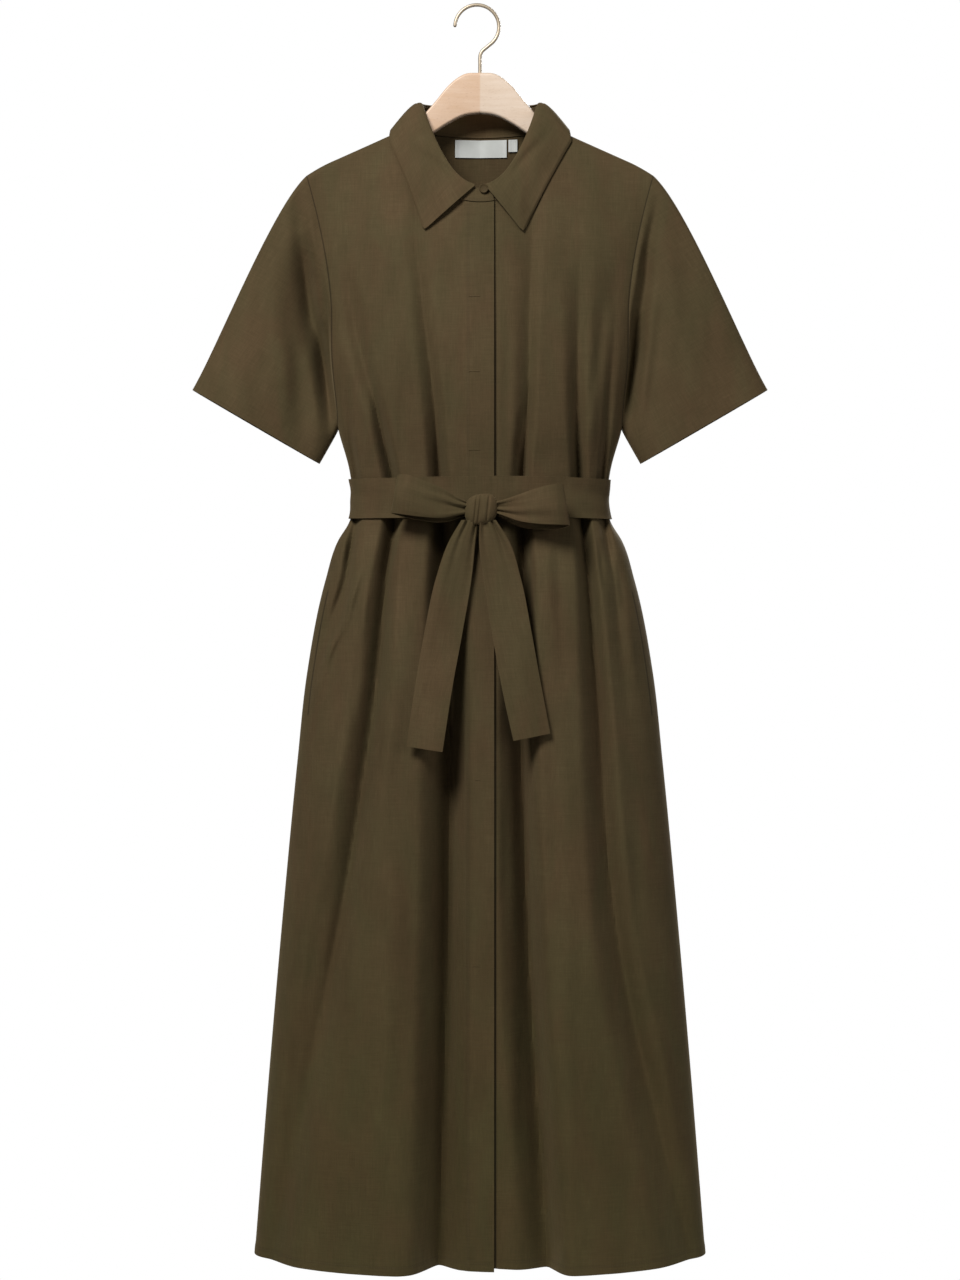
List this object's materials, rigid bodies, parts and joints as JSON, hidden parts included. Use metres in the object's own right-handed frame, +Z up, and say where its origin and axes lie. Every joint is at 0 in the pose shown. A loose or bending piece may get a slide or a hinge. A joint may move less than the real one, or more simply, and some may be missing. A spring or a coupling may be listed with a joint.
{
  "type": "belted shirt dress hanging on a wooden hanger",
  "caption": "Short-sleeved midi shirt dress with a pointed collar, concealed placket and tied self-fabric belt, hanging hollow and open on a plain wooden hanger with a wire hook.",
  "frame": {"origin": "inner top of the hanger's hook, where a rail touches it", "axes": "+Z up, -Y the front of the dress, +X the wearer's left side"},
  "size_m": [0.642, 0.2079, 1.4043],
  "materials": {
    "linen_cloth": "matt",
    "button": "matt",
    "label_tape": "satin",
    "hanger_wood": "satin",
    "hook_wire": "satin"
  },
  "bodies": {
    "root": {"front_right": "linen_cloth", "front_left": "linen_cloth", "back": "linen_cloth", "sleeve_right": "linen_cloth", "sleeve_left": "linen_cloth", "collar_stand": "linen_cloth", "collar": "linen_cloth", "neck_button": "button", "neck_label": "label_tape", "size_tab": "label_tape", "pocket_bag_right": "linen_cloth", "pocket_bag_left": "linen_cloth", "belt_band": "linen_cloth", "bow_loop_right": "linen_cloth", "bow_loop_left": "linen_cloth", "belt_tail_right": "linen_cloth", "belt_tail_left": "linen_cloth", "belt_knot": "linen_cloth", "hanger": "hanger_wood", "hook": "hook_wire"}
  },
  "joints": []
}
